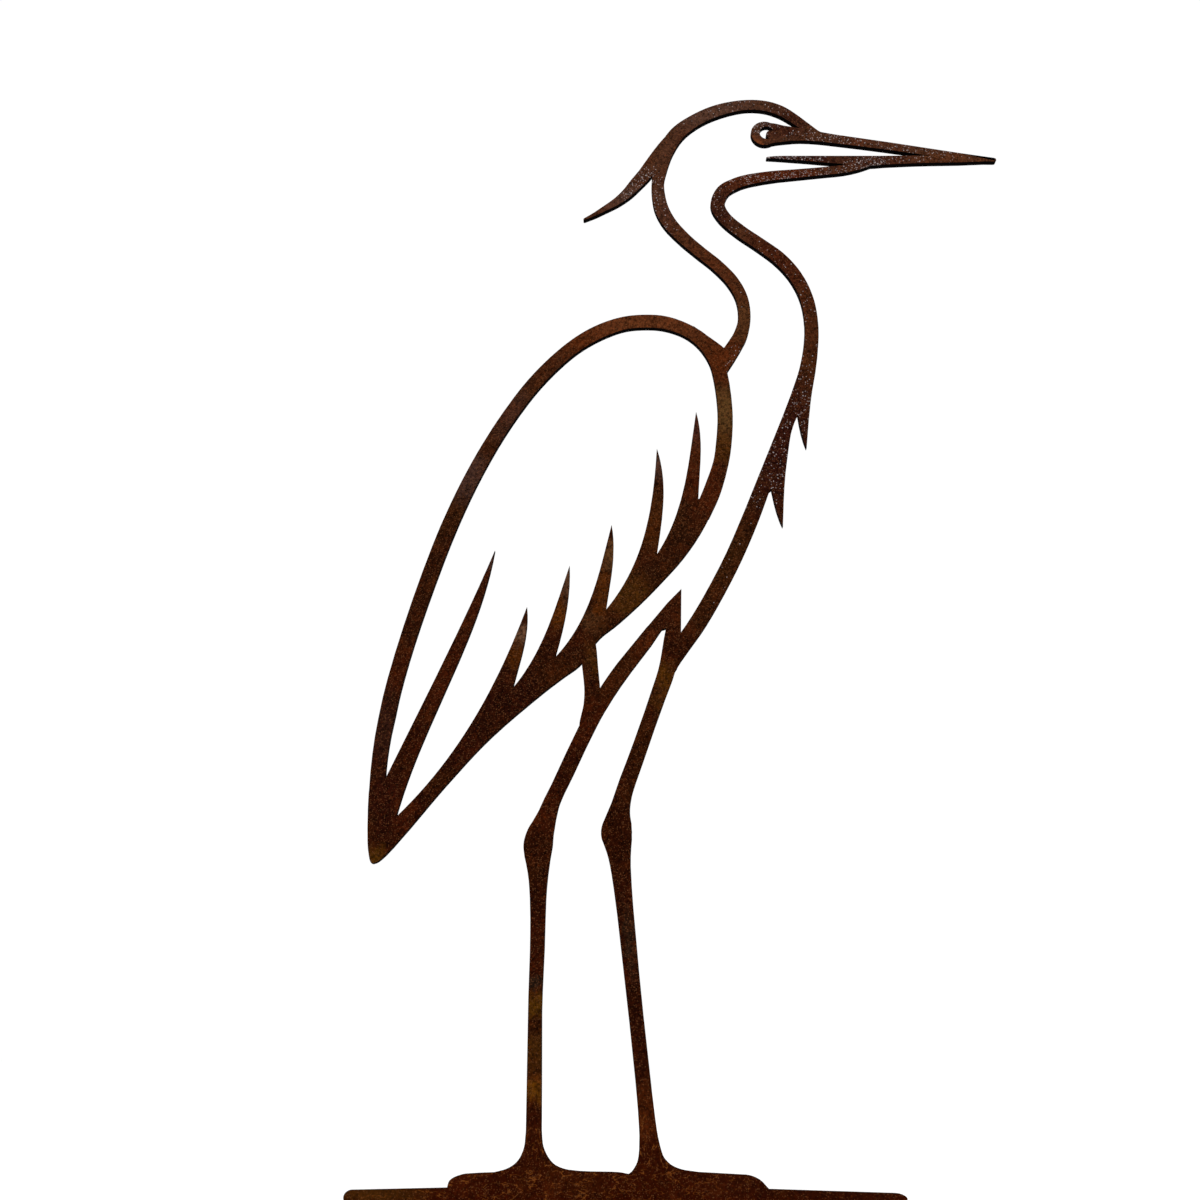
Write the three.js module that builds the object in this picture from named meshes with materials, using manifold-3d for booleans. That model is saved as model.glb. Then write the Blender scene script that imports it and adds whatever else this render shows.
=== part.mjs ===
// Heron garden stake: a standing heron drawn in lines of steel and cut, with the strip of ground
// under its feet, from one flat plate of weathering steel. The plate stands upright in the plane
// y = 0, with x from the tail to the bill and z up. Zero is the middle of the ground line, where
// the strip is cut off flat. All sizes are in millimetres.
import * as THREE from 'three';
import { mergeVertices } from 'three/addons/utils/BufferGeometryUtils.js';
import Module from 'manifold-3d';

const wasm = await Module();
wasm.setup();

// Thickness of the plate, and width of a plain line of the drawing
const PLATE_THICKNESS = 6;
const LINE_WIDTH = 13;
// How far a straight facet may stray from the true curve, and the distance that welds two points
const CURVE_TOLERANCE = 0.08;
const WELD_DISTANCE = 0.001;
const STEPS_PER_SPAN = 24;

// Lines of the drawing as stations along their middle: [x, z], and the width where it isn't plain
const NAPE_AND_CROWN = [
  [88, 712, 15], [97.5, 727.5, 15], [104, 738, 14], [109.5, 748.5], [113.5, 765, 11.5],
  [112, 785, 11.5], [104, 803, 12], [90, 820, 12], [74, 834.5, 12], [59, 849, 12.5],
  [45.5, 865.5, 13.5], [38.5, 880, 13.5], [35.5, 895, 12.5], [35, 909, 12], [37.5, 925, 13.5],
  [43.5, 945, 15], [54.5, 963.5, 15], [72, 978, 13.5], [94, 989], [120, 995, 11.5],
  [140, 994, 11.5], [155, 988.5, 11.5], [168.5, 979, 10.5], [180, 969, 10], [191, 960.5, 9.5],
  [205, 957.8, 8.8],
];
const CREST = [
  [-35, 869.6, 2], [-25, 875, 4], [-15, 881.5, 6], [-4.5, 888.5, 8], [6, 898, 10.5],
  [14.5, 908.5, 12.5], [23, 919, 13.5], [31.5, 933], [42.5, 948, 14.5], [54, 962.5, 14],
];
const UPPER_BILL = [
  [142, 963.5, 24], [149, 963.5, 21.5], [156, 963, 18.5], [168, 962.5, 15], [180, 961, 12],
  [192, 959.5, 11], [204, 957.5, 10], [246, 951, 9], [288, 944, 8.5], [324, 938, 7.5],
  [348, 935, 5.6], [357.8, 934.1, 4.2],
];
const LOWER_BILL = [
  [140, 936.4, 1.5], [143, 936.6, 2.3], [149, 936.7, 3.2], [156, 936.5, 4], [180, 935.5, 6],
  [210, 934, 9], [240, 933, 11], [252, 933.5, 10], [288, 934.5, 8.5], [324, 934.5, 7],
  [350, 933.7, 3],
];
const THROAT = [
  [240, 932, 8], [227, 927.5, 9], [213, 924, 9], [192, 921.5, 9], [168, 919, 9.5],
  [144, 916.5, 10.5], [120, 912, 11.5], [109, 908, 12], [97, 900],
];
const NECK = [
  [91.5, 885, 13.5], [97, 872], [112, 857], [129.5, 843.5], [149, 827, 13.5], [163.5, 807.5],
  [172.5, 784.5, 12.5], [175.5, 760, 12.5], [174.5, 740],
];
const BREAST_AND_BELLY = [
  [170, 715, 14], [162, 690, 14.5], [151.5, 666, 12], [145.5, 650], [130, 611, 13.5],
  [114, 570, 15], [96.5, 530, 15], [75.5, 490, 15], [62.5, 468.5, 15], [50, 450.5, 14.5],
  [40.5, 435], [33, 418, 12],
];
const FAR_LEG = [
  [44, 470, 12.5], [42.5, 458, 14.5], [37.5, 430.5, 14.5], [29, 405.5, 13.5], [20, 380],
  [9.5, 350.5, 13.5], [3, 333, 14], [-0.5, 322, 14.5], [-3, 312, 16.5], [-4.5, 305, 19.5],
  [-5.5, 298, 23.5], [-6.5, 290, 26], [-5.5, 283, 24], [-4.5, 275, 20.5], [-3.5, 265, 17.5],
  [-2, 250, 15.5], [0, 230, 14], [3, 200], [7, 160, 12.1], [11.2, 120, 11.9], [15.3, 80, 12.4],
  [17.2, 60, 13.5], [18.3, 48, 14.6], [19, 36, 14], [20, 20, 14],
];
const NEAR_LEG = [
  [33, 474, 10], [26, 465.5, 12], [19.5, 456.5], [9.5, 443.5, 13.5], [-0.5, 430.5, 14],
  [-12.5, 413, 14], [-24.5, 393, 14], [-36.5, 368.5, 13.5], [-49.3, 340.5, 13.5], [-56.3, 325.5],
  [-61, 315, 14], [-64.4, 305, 16], [-67.5, 296, 19.5], [-70.3, 288, 22.8], [-71.8, 280, 24.4],
  [-72.1, 272, 22.6], [-71.8, 264, 19.6], [-71.5, 254, 16.5], [-71.4, 240, 14], [-71.3, 222, 12.6],
  [-71.5, 195, 12], [-72.7, 150, 11.4], [-72.6, 100, 11.9], [-72.6, 60, 12.5], [-72.6, 20, 12.5],
];
const SHOULDER = [[62, 752.5, 12.5], [77, 741], [89, 731], [98, 722, 10]];
const REAR_THIGH = [
  [-32, 460], [-30.5, 450, 14], [-28.5, 430, 13.5], [-27, 412, 13.5], [-28, 398],
  [-32.5, 382, 11], [-34, 377, 8],
];
const WING_BACK_AND_FRONT = [
  [-208, 320, 13.6], [-207.5, 345], [-205.2, 370, 13.4], [-202, 390, 14], [-198.5, 410, 14],
  [-189, 450, 14], [-171.5, 510, 14.5], [-152.5, 565.5, 14.5], [-131, 615.5, 14],
  [-106.5, 661, 13.5], [-78, 702.5, 13.5], [-47, 734.5, 13.5], [-23.5, 750.5, 14], [0, 760, 13.5],
  [20, 762.5, 13.5], [40, 761, 13.5], [60.5, 753], [75.5, 741, 14], [86, 723, 13.5],
  [90.5, 705, 13.5], [93.5, 670, 13.5], [91.5, 640, 14], [88.5, 622, 14], [80, 595, 15.5],
  [70, 572, 15],
];

// Edge of the wing from the back of the tail, round its tip and on under the feathers to the front
const WING_LOWER_EDGE = [
  [-214, 336], [-214.9, 322], [-214.9, 304], [-214.4, 290], [-213.2, 275], [-210, 264.5],
  [-206, 265], [-199.5, 270], [-182, 290], [-149.5, 330], [-113.5, 370], [-68.5, 410], [-52, 423],
  [-37, 434.5], [-27, 450], [-18.5, 460], [-6, 470], [15.5, 490], [34.5, 510], [52, 530],
  [66, 550], [77, 570], [86, 590],
];
// Feathers that stand on that edge, from the breast back to the tail. Each has its root on the
// breast side and its tip, and the swells of its front edge and of the edge behind it.
const FEATHERS = [
  { root: [67.5, 587], front: [-1.5, -7], tip: [67, 671.5], back: [5, 14.5] },
  { root: [30, 535], front: [-5, -10.5], tip: [31, 635.5], back: [12, 21] },
  { root: [-15, 484], front: [-2, -6.5], tip: [-10, 562.5], back: [6, 16] },
  { root: [-59, 441], front: [-3.5, -5.5], tip: [-47, 524.5], back: [4, 11] },
  { root: [-95, 414], front: [-2, -6.5], tip: [-84, 486.5], back: [14, 19] },
  { root: [-191, 303], front: [7, -14.5], tip: [-113, 538.5], back: [3, 1] },
];
const LAST_FEATHER_BACK_ROOT = [-201.5, 335];

// Tufts of the breast: the outer edge down to the tip, the notch behind the tip, and its inner side
const TUFTS = [
  {
    outer: [[182, 752], [180, 730], [177, 710], [173, 690], [170, 670], [166, 635.5]],
    notch: [159, 671], back: [2, 1], inner: [[152, 678], [166, 715], [175, 750]],
  },
  {
    outer: [[159.5, 673], [152.5, 650], [149, 630], [146, 610], [144, 590], [142, 560.5]],
    notch: [133, 596], back: [2, 1], inner: [[122, 586], [136, 626], [150, 668]],
  },
];
const THIGH_BARB = [[51, 503], [50, 464.5], [46, 461], [37, 467], [27, 464], [22, 470], [38.5, 490]];

// Free ends of lines, which are rounded off
const ROUND_ENDS = [CREST[0], UPPER_BILL.at(-1), LOWER_BILL[0]];

// Eye: a round end on the upper bill, with a crescent cut beside the pupil
const EYE = { centre: [138.5, 963.3], radius: 13.2 };
const EYE_OPENING = { centre: [140.6, 964], radius: 6.7 };
const PUPIL = { centre: [144.6, 962], radius: 4.7 };

// Ground strip: a raised step under the feet on a longer step, both cut flat at the ground line
const UPPER_STEP = [
  [-140, 12], [-138, 18.3], [-129, 22.4], [-118, 23.5], [-104, 24], [-96, 24.3], [-60, 24.6],
  [-36, 25], [-28, 24.6], [-10, 24.3], [-4, 23.9], [0, 23.1], [2, 22.8], [8, 24], [48, 24.6],
  [58, 24.2], [70, 23.5], [88, 22.6], [98, 21.7], [105.5, 18.4], [112, 11.8],
];
// The lower step's height at its tail end, either side of the upper step, and at its bill end
const LOWER_STEP = {
  left: -220.5, right: 219.5, corner: 4.5,
  tailTop: 11.2, tailSideTop: 12.8, billSideTop: 11.8, billTop: 8.8,
};

// Feet: how a shank flares into the step, down its tail side and down its bill side
const FEET = [
  {
    tailSide: [
      [-78.7, 57], [-79.2, 50], [-79.8, 44], [-80.6, 41], [-81.8, 38], [-83.3, 35], [-85.6, 32],
      [-89.1, 29], [-94.8, 26.2], [-104, 23.9],
    ],
    billSide: [
      [-66.6, 59], [-66, 50], [-65.2, 44], [-64.2, 41], [-62.8, 38], [-61, 35], [-58.6, 32],
      [-54.8, 29], [-47, 26.2], [-36, 24.9],
    ],
  },
  {
    tailSide: [
      [10.9, 53], [10.8, 47], [10.6, 41], [10.3, 38], [9.9, 35], [9.2, 32], [7.9, 29], [5.9, 26],
      [4.4, 24.2], [2.2, 22.7],
    ],
    billSide: [
      [23.2, 64], [24.4, 57], [25.6, 50], [27, 44], [28.8, 38], [30.2, 35], [32.8, 32], [36.6, 29],
      [44.6, 26], [58, 24.1],
    ],
  },
];

const STEEL = { color: 0x3a1c0e, roughness: 0.85, metalness: 0.35 };

// Points of a smooth curve through the given ones, with the width running smoothly along
function smooth(points) {
  const through = points.map(([x, z, width = LINE_WIDTH]) => new THREE.Vector3(x, z, width));
  const curve = new THREE.CatmullRomCurve3(through, false, 'centripetal');
  return curve.getPoints((points.length - 1) * STEPS_PER_SPAN).map((p) => [p.x, p.y, p.z]);
}

// An edge from one corner to the next that swells to the left of its run; the two swells are the
// heights of the curve's handles at a third and at two thirds of the way
function swelling(from, to, swells) {
  const start = new THREE.Vector2(...from);
  const end = new THREE.Vector2(...to);
  const run = end.clone().sub(start);
  const left = new THREE.Vector2(-run.y, run.x).normalize();
  const handles = swells.map((height, i) => (
    start.clone().addScaledVector(run, (i + 1) / 3).addScaledVector(left, height)
  ));
  const curve = new THREE.CubicBezierCurve(start, ...handles, end);
  return curve.getPoints(STEPS_PER_SPAN).map((p) => [p.x, p.y]);
}

// A quarter of an ellipse about its centre, anticlockwise from a number of quarter turns
function quarter([x, z], reachX, reachZ, fromQuarter) {
  const start = fromQuarter * Math.PI / 2;
  const curve = new THREE.EllipseCurve(x, z, reachX, reachZ, start, start + Math.PI / 2);
  return curve.getPoints(STEPS_PER_SPAN).map((p) => [p.x, p.y]);
}

function circle({ centre, radius }) {
  return [0, 1, 2, 3].flatMap((turn) => quarter(centre, radius, radius, turn));
}

// How far a point lies from the straight line between two others
function offset([x, z], [ax, az], [bx, bz]) {
  const length = Math.hypot(bx - ax, bz - az);
  if (length < WELD_DISTANCE) return Math.hypot(x - ax, z - az);
  return Math.abs((bx - ax) * (z - az) - (bz - az) * (x - ax)) / length;
}

// The same run of points with only those that its shape needs within the tolerance
function thinned(points) {
  if (points.length < 3) return points;
  const [first, last] = [points[0], points[points.length - 1]];
  const offsets = points.map((p) => offset(p, first, last));
  const farthest = offsets.indexOf(Math.max(...offsets));
  if (offsets[farthest] < CURVE_TOLERANCE) return [first, last];
  return [...thinned(points.slice(0, farthest + 1)).slice(0, -1), ...thinned(points.slice(farthest))];
}

// The plate's thickness of steel inside a closed outline
function cut(outline) {
  const edge = thinned(outline.map(([x, z]) => [x, z]));
  const shape = new THREE.Shape(edge.map(([x, z]) => new THREE.Vector2(x, z)));
  const geometry = new THREE.ExtrudeGeometry(shape, { depth: PLATE_THICKNESS, bevelEnabled: false });
  geometry.deleteAttribute('normal');
  geometry.deleteAttribute('uv');
  const merged = mergeVertices(geometry, WELD_DISTANCE);
  return new wasm.Manifold(new wasm.Mesh({
    numProp: 3,
    vertProperties: new Float32Array(merged.attributes.position.array),
    triVerts: new Uint32Array(merged.index.array),
  }));
}

// A line of steel along its stations, with a straight end at either end
function line(stations) {
  const middle = smooth(stations);
  const sides = middle.map(([x, z, width], i) => {
    const before = middle[Math.max(i - 1, 0)];
    const after = middle[Math.min(i + 1, middle.length - 1)];
    const run = new THREE.Vector2(after[0] - before[0], after[1] - before[1]).normalize();
    const [dx, dz] = [-run.y * width / 2, run.x * width / 2];
    return { left: [x + dx, z + dz], right: [x - dx, z - dz] };
  });
  return cut([...sides.map((s) => s.left), ...sides.map((s) => s.right).reverse()]);
}

function featheredEdge() {
  const outline = smooth(WING_LOWER_EDGE);
  FEATHERS.forEach(({ root, front, tip, back }, i) => {
    const backRoot = i + 1 < FEATHERS.length ? FEATHERS[i + 1].root : LAST_FEATHER_BACK_ROOT;
    outline.push(...swelling(root, tip, front), ...swelling(tip, backRoot, back));
  });
  return cut(outline);
}

function tuft({ outer, notch, back, inner }) {
  const tip = outer[outer.length - 1];
  return cut([...smooth(outer), ...swelling(tip, notch, back), ...inner]);
}

function roundEnd([x, z, width]) {
  return cut(circle({ centre: [x, z], radius: width / 2 }));
}

function eye() {
  const opening = cut(circle(EYE_OPENING)).subtract(cut(circle(PUPIL)));
  return { round: cut(circle(EYE)), opening };
}

// The flare of one foot, from the sides of its shank out to the top of the step
function foot({ tailSide, billSide }) {
  const below = UPPER_STEP[0][1];
  return cut([
    ...smooth(tailSide).reverse(), ...smooth(billSide), [billSide[0][0], below], [tailSide[0][0], below],
  ]);
}

// The lower step has a round end at the tail side and a worn corner at the bill side
function ground() {
  const { left, right, corner, tailTop, tailSideTop, billSideTop, billTop } = LOWER_STEP;
  const endRadius = tailTop / 2;
  const tailEnd = [left + endRadius, endRadius];
  const [start, end] = [UPPER_STEP.at(0)[0], UPPER_STEP.at(-1)[0]];
  const lower = cut([
    ...quarter(tailEnd, endRadius, endRadius, 1), ...quarter(tailEnd, endRadius, endRadius, 2),
    ...quarter([right - corner, corner], corner, corner, 3),
    ...quarter([right - 2 * corner, corner], 2 * corner, billTop - corner, 0),
    [end, billSideTop], [start, tailSideTop],
  ]);
  const buried = endRadius;
  return lower.add(cut([...smooth(UPPER_STEP), [end, buried], [start, buried]]));
}

function heron() {
  const lines = [
    NAPE_AND_CROWN, CREST, UPPER_BILL, LOWER_BILL, [...THROAT, ...NECK, ...BREAST_AND_BELLY],
    FAR_LEG, NEAR_LEG, REAR_THIGH, WING_BACK_AND_FRONT, SHOULDER,
  ];
  const { round, opening } = eye();
  const solids = [
    ...lines.map(line), ...ROUND_ENDS.map(roundEnd), ...TUFTS.map(tuft), ...FEET.map(foot),
    featheredEdge(), cut(THIGH_BARB), round, ground(),
  ];
  return solids.reduce((whole, solid) => whole.add(solid)).subtract(opening);
}

// The finished solid as a mesh, turned upright and centred on the middle of the plate
function mesh(name, solid) {
  const { vertProperties, triVerts } = solid.getMesh();
  const geometry = new THREE.BufferGeometry();
  geometry.setAttribute('position', new THREE.BufferAttribute(new Float32Array(vertProperties), 3));
  geometry.setIndex(new THREE.BufferAttribute(new Uint32Array(triVerts), 1));
  geometry.rotateX(Math.PI / 2);
  geometry.translate(0, PLATE_THICKNESS / 2, 0);
  geometry.computeVertexNormals();
  const part = new THREE.Mesh(geometry, new THREE.MeshStandardMaterial(STEEL));
  part.name = name;
  return part;
}

const stake = new THREE.Group();
stake.add(mesh('heron_plate', heron()));
export default stake;
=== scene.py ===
"""Heron garden stake: the looks of a line heron cut from one plate of weathering steel"""
import math

import bpy
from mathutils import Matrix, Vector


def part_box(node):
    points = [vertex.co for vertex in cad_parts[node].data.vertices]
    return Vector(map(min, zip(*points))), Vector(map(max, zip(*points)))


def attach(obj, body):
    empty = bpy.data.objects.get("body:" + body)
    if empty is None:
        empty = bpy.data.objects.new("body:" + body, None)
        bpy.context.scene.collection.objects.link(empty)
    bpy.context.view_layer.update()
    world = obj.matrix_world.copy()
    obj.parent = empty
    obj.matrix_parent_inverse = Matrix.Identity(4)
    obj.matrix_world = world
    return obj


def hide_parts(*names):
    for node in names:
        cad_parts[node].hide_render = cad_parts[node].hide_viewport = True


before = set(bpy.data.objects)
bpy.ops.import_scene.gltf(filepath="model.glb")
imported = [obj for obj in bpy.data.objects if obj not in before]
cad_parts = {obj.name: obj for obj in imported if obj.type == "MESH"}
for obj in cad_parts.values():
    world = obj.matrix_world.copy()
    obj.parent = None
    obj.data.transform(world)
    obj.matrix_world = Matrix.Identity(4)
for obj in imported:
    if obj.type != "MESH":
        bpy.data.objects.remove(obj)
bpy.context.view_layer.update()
plate_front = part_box("heron_plate")[0].y

MM = 0.001

# Camera: low in front of the plate and tilted up, so that the ground line is just under the picture
CAMERA_PLACE = (-20.3 * MM, -1257 * MM, 111.6 * MM)
CAMERA_TILT_UP = math.radians(16.9)
CAMERA_LENS = 45
CAMERA_SENSOR = 36

# Surround and lamps: name, place in metres, width across in metres, watts
SURROUND = 1.02
LAMPS = (
    ("soft lamp in front", (-1.2, -2.6, 2.6), 2.0, 12),
    ("soft lamp behind", (1.4, 2.4, 2.6), 2.0, 12),
)
LAMP_AIM_HEIGHT = 0.5
FLOOR_WIDTH = 80
FLOOR_ROUGHNESS, FLOOR_SPECULAR = 0.9, 0.1

# Rim of the cut plate: how far it is rounded, in how many steps, and the shortest edge left there.
# Faces that meet at less than the flat angle become one, and walls are smooth where they meet at
# less than the smooth angle. A face whose normal is this near to the y axis is the front or back.
RIM_ROUNDING = 0.25 * MM
RIM_STEPS = 2
SHORTEST_EDGE = 0.3 * MM
FLAT_ANGLE = math.radians(0.5)
SMOOTH_ANGLE = math.radians(30)
FACING_FRONT_OR_BACK = 0.9
SKIN_SLOT, EDGE_SLOT = 0, 1

# Patina colours as the eye sees them on the plate
RUST = {
    "strip brown": "#370E01",
    "shank brown": "#290C03",
    "wing brown": "#2B1206",
    "neck brown": "#41200F",
    "head brown": "#4A2C1E",
    "deep brown": "#1C0701",
    "red brown": "#4C1A06",
    "plum brown": "#2A0C0A",
    "plum grey": "#46231D",
    "dark ash": "#2A1E14",
    "dusty lilac": "#463029",
    "head dust": "#5A4238",
    "khaki": "#563A1C",
    "sand": "#5E3E22",
    "pale sand": "#70503A",
    "ochre": "#462808",
    "gold": "#563406",
    "amber": "#5A2C06",
    "orange": "#602A0C",
    "burnt orange": "#6C381C",
    "tan": "#7E461A",
    "dust": "#764A2C",
    "salt": "#BCB0AE",
}
# Colours of the cut edge. Its black is partly scale and partly painted shade, which stays on the
# walls that face down.
SCALE = {
    "scale black": "#020102",
    "scale brown": "#060302",
    "edge rust": "#221009",
    "rained rust": "#3A1A0B",
}
# An oxide skin and a burnt edge hardly mirror anything
MATT_SPECULAR = 0.01

# Tone of the skin by height over the ground line, in metres. It grows paler towards the head,
# partly as patina and partly as painted light falling from above.
TONES_AND_PAINTED_LIGHT = (
    (0.00, "strip brown"),
    (0.10, "shank brown"),
    (0.38, "shank brown"),
    (0.56, "wing brown"),
    (0.76, "neck brown"),
    (0.94, "head brown"),
)

# Patterns in the oxide: size across the plate, through it and up it in millimetres, detail,
# roughness. The real grain is 0.3 to 1 mm. It is drawn at about 2 mm, so that it shows. The values
# of each pattern run from 0 to 1, and lie round the middle.
PATTERN_MIDDLE = 0.5
PATTERNS = {
    "hues": ((50, 50, 50), 2, 0.5),
    "clouds": ((22, 22, 22), 3, 0.6),
    "mottle": ((6, 6, 6), 3, 0.65),
    "flecks": ((2.6, 2.6, 2.6), 2, 0.6),
    "tracks along": ((13, 5, 5), 2, 0.55),
    "tracks up": ((5, 5, 13), 2, 0.55),
    "grain": ((2.1, 2.1, 2.1), 3, 0.8),
}
# Rust colours that follow a pattern: colour, pattern, the pattern's values where the colour starts
# and where it is full, strength
CLOUDS = (
    ("red brown", "hues", 0.50, 0.66, 0.3),
    ("ochre", "hues", 0.50, 0.34, 0.12),
    ("orange", "clouds", 0.52, 0.72, 0.25),
    ("deep brown", "clouds", 0.46, 0.28, 0.35),
)
MOTTLING = ("deep brown", "mottle", 0.52, 0.3, 0.4)
FLECKS = ("orange", "flecks", 0.56, 0.72, 0.35)
SALT_WISPS = ("salt", "flecks", 0.44, 0.30, 0.6)

# Outlines of patches wander in swirls of 8 mm, and specks a little with them, so that none is a
# neat oval or a neat round: the size of the swirls and how far they carry, in millimetres
SWIRLS = 8
SWIRL_DETAIL, SWIRL_ROUGHNESS = 3.0, 0.65
PATCHES_WANDER = 22
SPECKS_WANDER = 5

# Patches in the patina: name, x, z, length and width in millimetres, lean from upright in degrees,
# colour, strength
PATCHES = (
    ("wing top", 22, 762, 70, 200, 0, "burnt orange", 0.6),
    ("shoulder", 88, 726, 70, 60, 0, "orange", 0.4),
    ("wing top, back", -36, 742, 60, 70, 0, "orange", 0.3),
    ("wing back, upper", -98, 664, 110, 54, 0, "dusty lilac", 0.35),
    ("wing back, dusty", -137, 608, 84, 50, 0, "dusty lilac", 0.7),
    ("wing back, low", -205, 380, 110, 44, 0, "dusty lilac", 0.15),
    ("wing front, khaki", 93, 671, 72, 50, 0, "khaki", 0.95),
    ("wing front, ochre", 91, 636, 50, 40, 0, "ochre", 0.65),
    ("wing front, red", 76, 590, 100, 60, 0, "red brown", 0.35),
    ("wing edge, back", -108, 388, 130, 80, 45, "plum brown", 0.4),
    ("wing edge, back, dark", -108, 388, 110, 60, 45, "deep brown", 0.5),
    ("tail", -204, 315, 90, 50, 0, "plum brown", 0.3),
    ("tail tip", -207, 268, 30, 34, 0, "gold", 0.65),
    ("hip", -28, 474, 26, 40, 60, "sand", 0.25),
    ("hip, ochre", -22, 440, 50, 30, 0, "ochre", 0.5),
    ("wing edge, ochre", 6, 496, 60, 50, 30, "ochre", 0.75),
    ("third feather", -19, 500, 80, 26, 0, "amber", 0.5),
    ("third feather tip", -11, 532, 46, 22, 0, "sand", 0.8),
    ("fourth feather", -55, 480, 44, 26, 0, "amber", 0.75),
    ("fourth feather tip", -48, 508, 48, 24, 0, "pale sand", 0.35),
    ("fifth feather", -93, 443, 36, 26, 0, "amber", 0.55),
    ("fifth feather tip", -89, 461, 26, 24, 0, "pale sand", 0.7),
    ("second feather", 27, 560, 76, 34, 0, "amber", 0.3),
    ("second feather tip", 32, 618, 40, 22, 0, "head dust", 0.45),
    ("first feather", 63, 597, 36, 26, 0, "red brown", 0.2),
    ("first feather tip", 66, 656, 50, 22, 0, "plum grey", 0.7),
    ("long feather", -152, 425, 110, 34, 25, "red brown", 0.35),
    ("long feather tip", -114, 533, 40, 24, 0, "dusty lilac", 0.7),
    ("near thigh, orange", 21, 456, 34, 16, 40, "orange", 0.4),
    ("thigh barb", 44, 488, 60, 40, 0, "red brown", 0.2),
    ("near thigh", -4, 425, 80, 50, 40, "ochre", 0.15),
    ("far thigh", 35, 424, 40, 36, 0, "gold", 0.5),
    ("far thigh, low", 31, 402, 34, 32, 0, "ochre", 0.5),
    ("near hock", -66, 304, 60, 50, 0, "red brown", 0.2),
    ("far hock", -6, 290, 80, 50, 0, "deep brown", 0.35),
    ("near shank, ash", -73, 169, 14, 34, 0, "dark ash", 0.7),
    ("far shank, ash", 4, 200, 90, 14, -6, "dark ash", 0.6),
    ("near shank, gold", -72, 151, 32, 36, 0, "gold", 0.75),
    ("near shank, ochre", -73, 116, 50, 40, 0, "ochre", 0.6),
    ("near shank, amber", -73, 87, 38, 36, 0, "amber", 0.8),
    ("near shank, gold, low", -73, 84, 24, 30, 0, "gold", 0.6),
    ("far shank", 16, 70, 70, 34, 0, "orange", 0.3),
    ("far foot", 26, 34, 50, 70, 0, "deep brown", 0.15),
    ("near shank, high", -72, 215, 90, 40, 0, "deep brown", 0.25),
    ("strip, tail side", -196, 8, 40, 110, 0, "ochre", 0.65),
    ("strip, bill side", 178, 8, 40, 130, 0, "deep brown", 0.25),
    ("strip, under the far foot", 120, 20, 50, 200, 0, "shank brown", 0.6),
    ("eye ring", 131, 951, 24, 26, 0, "burnt orange", 0.8),
    ("bill", 325, 937, 40, 130, 0, "tan", 0.12),
    ("neck front", 148, 830, 110, 50, -40, "red brown", 0.5),
    ("neck front, dark", 148, 830, 110, 60, -40, "plum brown", 0.3),
    ("neck back", 84, 815, 130, 60, -30, "orange", 0.25),
    ("neck back, low", 110, 765, 70, 50, -20, "sand", 0.35),
    ("neck front, upper", 95, 880, 90, 60, 30, "plum brown", 0.65),
    ("neck back, upper", 42, 884, 80, 50, 0, "head dust", 0.2),
    ("belly", 82, 520, 140, 60, 30, "ochre", 0.2),
    ("throat", 150, 914, 60, 150, 0, "red brown", 0.85),
    ("forehead", 160, 974, 50, 70, 0, "plum brown", 0.65),
    ("lower bill", 170, 935, 24, 110, 0, "plum brown", 0.95),
    ("chin", 240, 931, 34, 100, 0, "plum brown", 0.5),
    ("breast", 145, 640, 190, 90, 15, "plum brown", 0.8),
    ("crown", 90, 984, 56, 150, 0, "head dust", 0.4),
    ("crest", 0, 892, 60, 60, 0, "head dust", 0.45),
)
# Patches, tracked and salted areas are soft ovals, full where the reach is over these values. They
# are 18 mm deep, half of it behind the plate's front, so they are weaker on its back.
PATCH_DEPTH = 18
PATCH_FULL, TRACKS_FULL, SALT_FULL = 0.75, 0.6, 0.5

# Tan tracks in the oxide, like a worm's, round the near foot: name, x, z, length, width, lean. They
# run along the strip, and up the leg above it, and the one gives way to the other between two
# heights. A track is a thin band round a pattern's middle value, broken up by the mottling.
TRACKED = ("tracks", -70, 20, 160, 460, 0)
TRACKS_TURN_UP = (24 * MM, 32 * MM)
TRACK_SIDE, TRACK_CORE = 0.032, 0.01
TRACK_START, TRACK_FULL, TRACK_STRENGTH = 0.32, 0.65, 0.75

# Fine grain, as light and dark of the same colour: the heights in metres where the strip's grain
# ends and the heron's is full, how bright the pits and the crests are on each, and the pattern's
# values in a pit and on a crest
GRAIN_HEIGHTS = (0.04, 0.10)
GRAIN_PITS = (0.42, 0.16)
GRAIN_CRESTS = (1.12, 1.36)
GRAIN_VALUES = (0.34, 0.66)

# Dust specks: their spacing in millimetres, two heights in metres, and the share of the specks that
# is there at the lower and at the higher one
DUST_SPACING = 1.1
DUST_HEIGHTS = (0.1, 0.6)
DUST_SHARES = (0.34, 0.46)
DUST_STRENGTH = 0.55
# Salt specks, finest first: their spacing in millimetres, the share of them that is there where no
# salt dried and where it is thickest, strength. The real specks are down to 0.2 mm across. All are
# drawn about 0.5 to 1.2 mm across, so that they show.
SALT_SPECKS = (
    (1.3, 0.00, 0.60, 0.68),
    (1.9, -0.60, 0.38, 0.76),
)
# A speck fades out from its core to its side, in shares of the spacing
SPECK_SIDE, SPECK_CORE = 0.55, 0.1
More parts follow.
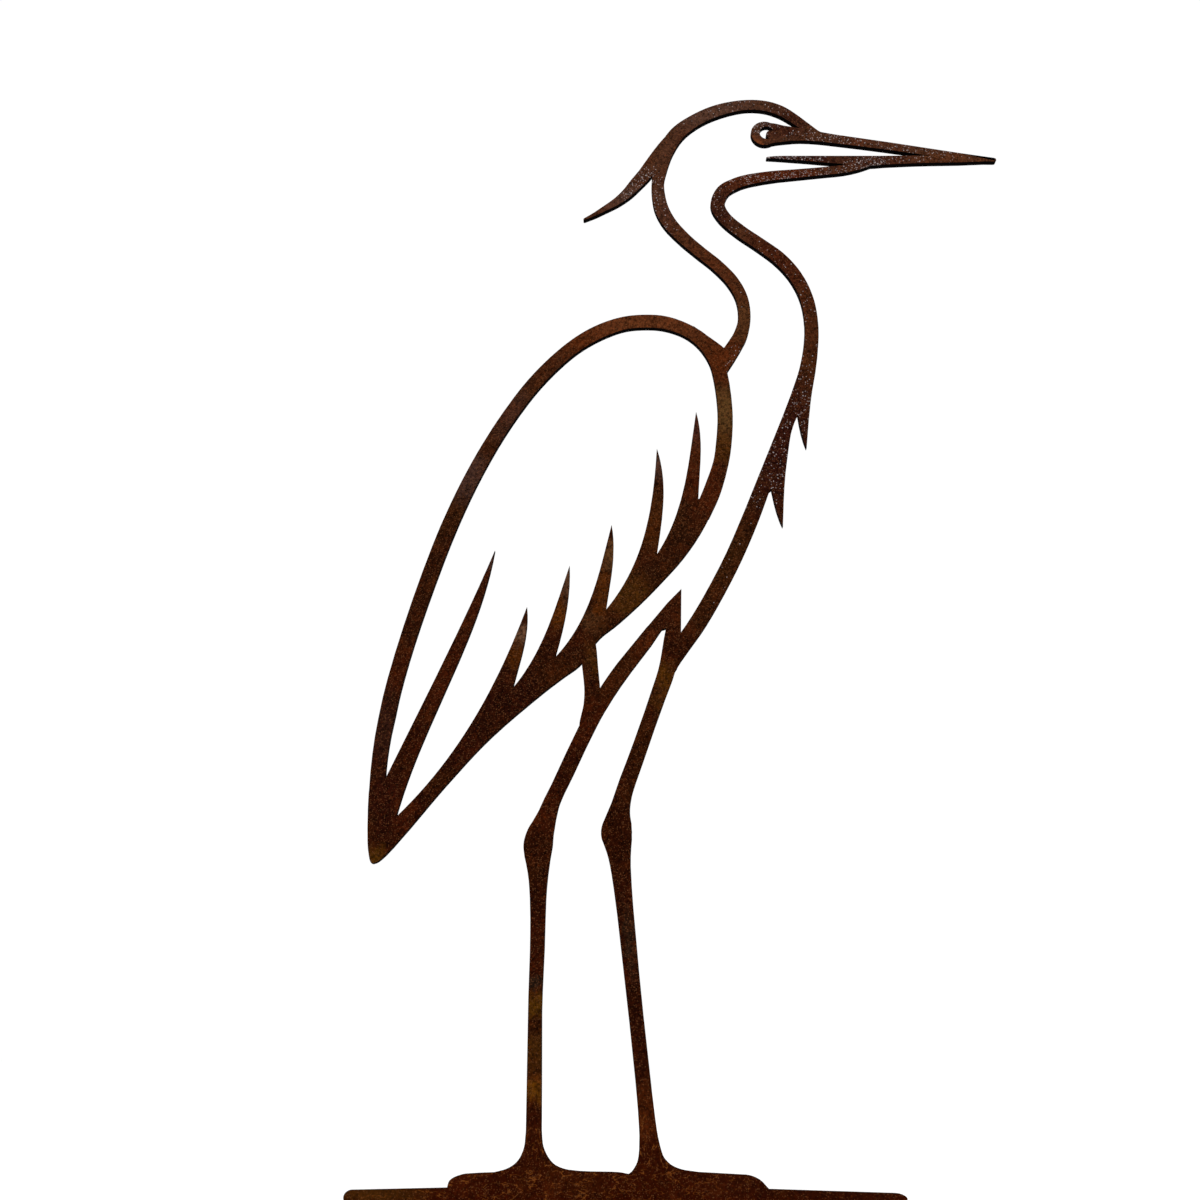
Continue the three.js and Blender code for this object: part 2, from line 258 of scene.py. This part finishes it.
# Dried salt: name, x, z, length and width in millimetres, lean, density. Where it is thick it also
# lies in wisps, which start at the first density below and are full at the second.
SALTED = (
    ("crest root", 18, 906, 60, 60, 0, 0.5),
    ("crown", 110, 990, 40, 190, 0, 0.15),
    ("eye ring", 137, 975, 30, 40, 0, 0.8),
    ("bill root", 212, 960, 28, 130, 0, 0.42),
    ("bill", 280, 947, 40, 150, 0, 0.34),
    ("lower bill", 162, 937, 24, 100, 0, 0.8),
    ("throat", 160, 916, 40, 180, 0, 0.6),
    ("chin", 238, 930, 24, 50, 0, 0.8),
    ("neck front", 98, 880, 80, 60, 0, 0.18),
    ("neck back", 42, 880, 100, 50, 0, 0.2),
    ("neck", 150, 800, 160, 90, 0, 0.13),
    ("foot of the neck", 112, 722, 44, 44, 0, 0.3),
    ("breast", 160, 680, 140, 70, 15, 0.28),
    ("breast, low", 137, 620, 120, 60, 20, 0.26),
    ("belly", 90, 520, 120, 70, 25, 0.03),
)
WISPS_START, WISPS_FULL = 0.7, 1.0

# Relief of the skin, and its roughness, which falls a little where the mottling is high
SKIN_RELIEF, SKIN_RELIEF_DEPTH = 0.6, 0.25 * MM
GRAIN_IN_RELIEF = 0.5
MOTTLE_VALUES = (0.3, 0.7)
SKIN_ROUGHNESS = (0.98, 0.86)

# Cut edge: size of the drag lines and of the blooms in millimetres. The way through the plate
# counts only by this small share for the lines, so they run straight through it. The real ones are
# about 1 mm apart. They are drawn at about 2 mm, so that they show.
DRAG_LINES, DRAG_DETAIL, DRAG_ROUGHNESS = 1.8, 2.0, 0.5
DRAG_THROUGH = 0.06
BLOOMS, BLOOM_DETAIL, BLOOM_ROUGHNESS = 6, 3.0, 0.65
# How much the blooms count, beside the facing up, in the brown of the lit and rained walls
BLOOM_IN_LIT_AND_RAINED = 0.8
# Its colours over black scale: colour, pattern, the pattern's values where the colour starts and
# where it is full, strength. Brown shows in blooms, and more so where a wall faces up to the rain.
# Walls that face down stay black: partly scale, partly painted shade under the plate's edges.
EDGE_COLOURS = (
    ("scale brown", "bloom", 0.4, 0.7, 1.0),
    ("edge rust", "lit_and_rained", -0.1, 0.5, 0.9),
    ("rained rust", "lit_and_rained", 0.95, 1.45, 0.9),
    ("scale black", "drag", 0.52, 0.38, 0.6),
)
EDGE_RELIEF, EDGE_RELIEF_DEPTH = 0.7, 0.3 * MM
EDGE_ROUGHNESS = 0.85


def linear(hex_colour):
    """An sRGB hex colour as linear red, green, blue and alpha"""
    channels = [int(hex_colour[i:i + 2], 16) / 255 for i in (1, 3, 5)]
    return [c / 12.92 if c <= 0.04045 else ((c + 0.055) / 1.055) ** 2.4 for c in channels] + [1]


def add(tree, kind, inputs, **settings):
    """Adds a node. An input that is given a socket is linked to it, and any other is set"""
    node = tree.nodes.new(kind)
    for name, value in settings.items():
        setattr(node, name, value)
    for name, value in inputs.items():
        if isinstance(value, bpy.types.NodeSocket):
            tree.links.new(value, node.inputs[name])
        else:
            node.inputs[name].default_value = value
    return node


def photo_camera():
    tilt = math.pi / 2 + CAMERA_TILT_UP
    bpy.ops.object.camera_add(location=CAMERA_PLACE, rotation=(tilt, 0, 0))
    camera = bpy.context.object
    camera.data.lens = CAMERA_LENS
    camera.data.sensor_width = CAMERA_SENSOR
    bpy.context.scene.camera = camera


def studio():
    """A plain pale floor under an even white surround, with two large soft lamps"""
    scene = bpy.context.scene
    scene.view_settings.view_transform = "Standard"
    scene.world = bpy.data.worlds.new("white surround")
    scene.world.use_nodes = True
    background = scene.world.node_tree.nodes["Background"]
    background.inputs["Color"].default_value = (1, 1, 1, 1)
    background.inputs["Strength"].default_value = SURROUND

    bpy.ops.mesh.primitive_plane_add(size=FLOOR_WIDTH)
    floor = bpy.context.object
    floor.name = "floor"
    paint = bpy.data.materials.new("matt white floor paint")
    paint.use_nodes = True
    shader = paint.node_tree.nodes["Principled BSDF"]
    shader.inputs["Base Color"].default_value = linear("#FFFFFF")
    shader.inputs["Roughness"].default_value = FLOOR_ROUGHNESS
    shader.inputs["Specular IOR Level"].default_value = FLOOR_SPECULAR
    floor.data.materials.append(paint)

    for name, (x, y, z), width, watts in LAMPS:
        turn = math.atan2(x, -y)
        tilt = math.atan2(math.hypot(x, y), z - LAMP_AIM_HEIGHT)
        bpy.ops.object.light_add(type="AREA", location=(x, y, z), rotation=(tilt, 0, turn))
        lamp = bpy.context.object
        lamp.name = name
        lamp.data.shape = "DISK"
        lamp.data.size = width
        lamp.data.energy = watts


def reach(tree, place, name, x, z, length, width, lean):
    """How near a point is to the middle of a soft oval patch on the plate's front: 1 to 0"""
    centred = add(tree, "ShaderNodeMapping", {
        "Vector": place,
        "Location": (x * MM, plate_front, z * MM),
        "Rotation": (0, math.radians(lean), 0),
        "Scale": (width / 2 * MM, PATCH_DEPTH / 2 * MM, length / 2 * MM),
    }, vector_type="TEXTURE", label=name)
    oval = add(tree, "ShaderNodeTexGradient", {"Vector": centred.outputs[0]},
               gradient_type="SPHERICAL")
    return oval.outputs["Fac"]


def lay(tree, under, colour, where, start, full, strength):
    """Lays a colour over what is there, from none where the pattern starts to where it is full"""
    share = add(tree, "ShaderNodeMapRange", {
        "Value": where, "From Min": start, "From Max": full, "To Min": 0.0, "To Max": strength,
    }, interpolation_type="SMOOTHSTEP")
    over = colour if isinstance(colour, bpy.types.NodeSocket) else linear(colour)
    laid = add(tree, "ShaderNodeMix", {0: share.outputs[0], 6: under, 7: over}, data_type="RGBA")
    return laid.outputs[2]


def wander(tree, place, sway, distance):
    """Moves a place along with the swirls, by about a quarter of the distance in millimetres"""
    shift = add(tree, "ShaderNodeVectorMath", {0: sway, "Scale": distance * MM},
                operation="SCALE")
    moved = add(tree, "ShaderNodeVectorMath", {0: place, 1: shift.outputs[0]}, operation="ADD")
    return moved.outputs[0]


def scatter(tree, place, spacing, share):
    """Specks at random places, of which this share is there: 1 in a speck and 0 beside it"""
    cells = add(tree, "ShaderNodeTexVoronoi", {"Vector": place, "Scale": 1 / (spacing * MM)})
    lot = add(tree, "ShaderNodeSeparateColor", {0: cells.outputs["Color"]}).outputs["Red"]
    there = add(tree, "ShaderNodeMath", {0: share, 1: lot}, operation="GREATER_THAN")
    speck = add(tree, "ShaderNodeMapRange", {
        "Value": cells.outputs["Distance"], "From Min": SPECK_SIDE, "From Max": SPECK_CORE,
    })
    kept = add(tree, "ShaderNodeMath", {0: speck.outputs[0], 1: there.outputs[0]},
               operation="MULTIPLY")
    return kept.outputs[0]


def oxide_patterns(tree, place):
    """The patterns in the oxide, by name"""
    patterns = {}
    for name, (sizes, detail, roughness) in PATTERNS.items():
        sized = add(tree, "ShaderNodeMapping", {
            "Vector": place, "Scale": [1 / (size * MM) for size in sizes],
        }, label=name)
        noise = add(tree, "ShaderNodeTexNoise", {
            "Vector": sized.outputs[0], "Scale": 1.0, "Detail": detail, "Roughness": roughness,
        })
        patterns[name] = noise.outputs["Fac"]
    return patterns


def rust_in(tree, under, patterns, colour, name, start, full, strength):
    """Lays a rust colour where one of the patterns is"""
    return lay(tree, under, RUST[colour], patterns[name], start, full, strength)


def tone_and_painted_light_by_height(tree, height):
    """The skin's ground tone: dark and warm at the strip, paler and greyer towards the head, partly
    as patina and partly as painted light falling from above
    """
    tone = add(tree, "ShaderNodeValToRGB", {0: height})
    steps = tone.color_ramp.elements
    while len(steps) < len(TONES_AND_PAINTED_LIGHT):
        steps.new(0.5)
    for step, (at, name) in zip(steps, TONES_AND_PAINTED_LIGHT):
        step.position = at
        step.color = linear(RUST[name])
    return tone.outputs["Color"]


def tracks_in(tree, skin, patterns, height):
    """The skin with tan tracks over it, along the strip low down and up the leg above it"""
    runs = lay(tree, patterns["tracks along"], patterns["tracks up"], height, *TRACKS_TURN_UP, 1.0)
    signed = add(tree, "ShaderNodeMath", {0: runs, 1: PATTERN_MIDDLE}, operation="SUBTRACT")
    beside = add(tree, "ShaderNodeMath", {0: signed.outputs[0]}, operation="ABSOLUTE")
    inside = add(tree, "ShaderNodeMapRange", {
        "Value": beside.outputs[0], "From Min": TRACK_SIDE, "From Max": TRACK_CORE,
    })
    broken = add(tree, "ShaderNodeMath", {0: inside.outputs[0], 1: patterns["mottle"]},
                 operation="MULTIPLY")
    return lay(tree, skin, RUST["tan"], broken.outputs[0],
               TRACK_START, TRACK_FULL, TRACK_STRENGTH)


def grain_in(tree, skin, patterns, height):
    """The skin with fine light and dark grain, weaker on the strip"""
    pits, crests = (add(tree, "ShaderNodeMapRange", {
        "Value": height, "From Min": GRAIN_HEIGHTS[0], "From Max": GRAIN_HEIGHTS[1],
        "To Min": on_strip, "To Max": on_heron,
    }) for on_strip, on_heron in (GRAIN_PITS, GRAIN_CRESTS))
    shade = add(tree, "ShaderNodeMapRange", {
        "Value": patterns["grain"], "From Min": GRAIN_VALUES[0], "From Max": GRAIN_VALUES[1],
        "To Min": pits.outputs[0], "To Max": crests.outputs[0],
    })
    grained = add(tree, "ShaderNodeVectorMath", {0: skin, "Scale": shade.outputs[0]},
                  operation="SCALE")
    return grained.outputs[0]


def salt_density(tree, wandered):
    """How thick the dried salt is: the thickest of the patches that reach a point"""
    salted = 0.0
    for *oval, density in SALTED:
        here = add(tree, "ShaderNodeMapRange", {
            "Value": reach(tree, wandered, *oval),
            "From Min": 0.0, "From Max": SALT_FULL, "To Min": 0.0, "To Max": density,
        })
        thickest = add(tree, "ShaderNodeMath", {0: salted, 1: here.outputs[0]},
                       operation="MAXIMUM")
        salted = thickest.outputs[0]
    return salted


def rust_skin():
    """Weathering steel left outdoors: a closed oxide skin, dead matt, dark brown, finely grained.
    Ochre and orange bloom where water stood, grey-brown where it ran off, and salt dried on it."""
    material = bpy.data.materials.new("weathering steel, rust patina")
    material.use_nodes = True
    tree = material.node_tree
    shader = tree.nodes["Principled BSDF"]
    place = add(tree, "ShaderNodeTexCoord", {}).outputs["Object"]
    swirls = add(tree, "ShaderNodeTexNoise", {
        "Vector": place, "Scale": 1 / (SWIRLS * MM),
        "Detail": SWIRL_DETAIL, "Roughness": SWIRL_ROUGHNESS,
    })
    sway = add(tree, "ShaderNodeVectorMath", {
        0: swirls.outputs["Color"], 1: (PATTERN_MIDDLE,) * 3,
    }, operation="SUBTRACT").outputs[0]
    wandered = wander(tree, place, sway, PATCHES_WANDER)
    drifted = wander(tree, place, sway, SPECKS_WANDER)
    height = add(tree, "ShaderNodeSeparateXYZ", {0: wandered}).outputs["Z"]
    patterns = oxide_patterns(tree, place)

    # Ground tone, paler towards the head partly by painted light, with redder, more ochre, warmer
    # and darker clouds
    skin = tone_and_painted_light_by_height(tree, height)
    for cloud in CLOUDS:
        skin = rust_in(tree, skin, patterns, *cloud)

    # Patches, broken up by the mottling
    for *oval, colour, strength in PATCHES:
        near = reach(tree, wandered, *oval)
        skin = lay(tree, skin, RUST[colour], near, 0.0, PATCH_FULL, strength)
    skin = rust_in(tree, skin, patterns, *MOTTLING)

    # Orange flecks, which give way to tan tracks round the near foot
    flecked = rust_in(tree, skin, patterns, *FLECKS)
    tracked = tracks_in(tree, skin, patterns, height)
    by_the_foot = reach(tree, wandered, *TRACKED)
    skin = lay(tree, flecked, tracked, by_the_foot, 0.0, TRACKS_FULL, 1.0)
    skin = grain_in(tree, skin, patterns, height)

    # Wisps of salt where it is thickest, dust specks all over and salt specks where it dried
    salted = salt_density(tree, wandered)
    wisps = rust_in(tree, skin, patterns, *SALT_WISPS)
    skin = lay(tree, skin, wisps, salted, WISPS_START, WISPS_FULL, 1.0)
    dusty = add(tree, "ShaderNodeMapRange", {
        "Value": height, "From Min": DUST_HEIGHTS[0], "From Max": DUST_HEIGHTS[1],
        "To Min": DUST_SHARES[0], "To Max": DUST_SHARES[1],
    })
    specks = scatter(tree, drifted, DUST_SPACING, dusty.outputs[0])
    skin = lay(tree, skin, RUST["dust"], specks, 0.0, 1.0, DUST_STRENGTH)
    for spacing, bare, thick, strength in SALT_SPECKS:
        share = add(tree, "ShaderNodeMapRange", {
            "Value": salted, "To Min": bare, "To Max": thick,
        })
        specks = scatter(tree, drifted, spacing, share.outputs[0])
        skin = lay(tree, skin, RUST["salt"], specks, 0.0, 1.0, strength)

    relief = add(tree, "ShaderNodeMath", {
        0: patterns["grain"], 1: GRAIN_IN_RELIEF, 2: patterns["mottle"],
    }, operation="MULTIPLY_ADD")
    bump = add(tree, "ShaderNodeBump", {
        "Height": relief.outputs[0], "Strength": SKIN_RELIEF, "Distance": SKIN_RELIEF_DEPTH,
    })
    dull = add(tree, "ShaderNodeMapRange", {
        "Value": patterns["mottle"], "From Min": MOTTLE_VALUES[0], "From Max": MOTTLE_VALUES[1],
        "To Min": SKIN_ROUGHNESS[0], "To Max": SKIN_ROUGHNESS[1],
    })
    tree.links.new(skin, shader.inputs["Base Color"])
    tree.links.new(dull.outputs[0], shader.inputs["Roughness"])
    tree.links.new(bump.outputs["Normal"], shader.inputs["Normal"])
    shader.inputs["Specular IOR Level"].default_value = MATT_SPECULAR
    return material


def cut_edge():
    """Flame-cut edge of the same steel: hard, nearly black scale, with fine drag lines straight
    through the thickness. It turns rust brown where it faces up and rain reaches it, and stays
    black where it faces down, which is partly scale and partly painted shade."""
    material = bpy.data.materials.new("weathering steel, flame-cut edge")
    material.use_nodes = True
    tree = material.node_tree
    shader = tree.nodes["Principled BSDF"]
    place = add(tree, "ShaderNodeTexCoord", {}).outputs["Object"]
    through = add(tree, "ShaderNodeMapping", {"Vector": place, "Scale": (1, DRAG_THROUGH, 1)})
    drag = add(tree, "ShaderNodeTexNoise", {
        "Vector": through.outputs[0], "Scale": 1 / (DRAG_LINES * MM),
        "Detail": DRAG_DETAIL, "Roughness": DRAG_ROUGHNESS,
    }).outputs["Fac"]
    bloom = add(tree, "ShaderNodeTexNoise", {
        "Vector": place, "Scale": 1 / (BLOOMS * MM),
        "Detail": BLOOM_DETAIL, "Roughness": BLOOM_ROUGHNESS,
    }).outputs["Fac"]
    # Walls that face up turn brown and walls that face down stay black: partly rain rust, partly
    # painted shade under the plate's edges
    facing = add(tree, "ShaderNodeNewGeometry", {}).outputs["Normal"]
    upward = add(tree, "ShaderNodeSeparateXYZ", {0: facing}).outputs["Z"]
    lit_and_rained = add(tree, "ShaderNodeMath", {0: bloom, 1: BLOOM_IN_LIT_AND_RAINED, 2: upward},
                 operation="MULTIPLY_ADD").outputs[0]
    patterns = {"drag": drag, "bloom": bloom, "lit_and_rained": lit_and_rained}
    colour = linear(SCALE["scale black"])
    for name, pattern, start, full, strength in EDGE_COLOURS:
        colour = lay(tree, colour, SCALE[name], patterns[pattern], start, full, strength)
    bump = add(tree, "ShaderNodeBump", {
        "Height": drag, "Strength": EDGE_RELIEF, "Distance": EDGE_RELIEF_DEPTH,
    })
    tree.links.new(colour, shader.inputs["Base Color"])
    tree.links.new(bump.outputs["Normal"], shader.inputs["Normal"])
    shader.inputs["Roughness"].default_value = EDGE_ROUGHNESS
    shader.inputs["Specular IOR Level"].default_value = MATT_SPECULAR
    return material


def rusted_heron():
    """The cut plate: a welded copy of the solid with slightly rounded rims and smooth curves"""
    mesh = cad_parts["heron_plate"].data.copy()
    mesh.materials.clear()
    heron = bpy.data.objects.new("rusted_heron", mesh)
    bpy.context.scene.collection.objects.link(heron)
    mesh.materials.append(rust_skin())
    mesh.materials.append(cut_edge())

    bpy.ops.object.select_all(action="DESELECT")
    heron.select_set(True)
    bpy.context.view_layer.objects.active = heron
    bpy.context.tool_settings.mesh_select_mode = (False, True, False)
    bpy.ops.object.mode_set(mode="EDIT")
    bpy.ops.mesh.select_all(action="SELECT")
    bpy.ops.mesh.customdata_custom_splitnormals_clear()
    bpy.ops.mesh.remove_doubles(threshold=SHORTEST_EDGE)
    bpy.ops.mesh.dissolve_limited(angle_limit=FLAT_ANGLE)
    bpy.ops.mesh.select_all(action="DESELECT")
    bpy.ops.object.mode_set(mode="OBJECT")

    # The rim runs where a face of the plate meets a cut wall
    slots_at = {}
    for face in mesh.polygons:
        flat = abs(face.normal.y) > FACING_FRONT_OR_BACK
        face.material_index = SKIN_SLOT if flat else EDGE_SLOT
        for key in face.edge_keys:
            slots_at.setdefault(key, set()).add(face.material_index)
    for edge in mesh.edges:
        edge.select = len(slots_at[edge.key]) == 2
    bpy.ops.object.mode_set(mode="EDIT")
    bpy.ops.mesh.bevel(offset=RIM_ROUNDING, segments=RIM_STEPS, clamp_overlap=False,
                       loop_slide=False, material=EDGE_SLOT)
    bpy.ops.object.mode_set(mode="OBJECT")
    bpy.ops.object.shade_smooth_by_angle(angle=SMOOTH_ANGLE)
    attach(heron, "root")
    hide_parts("heron_plate")


photo_camera()
studio()
rusted_heron()
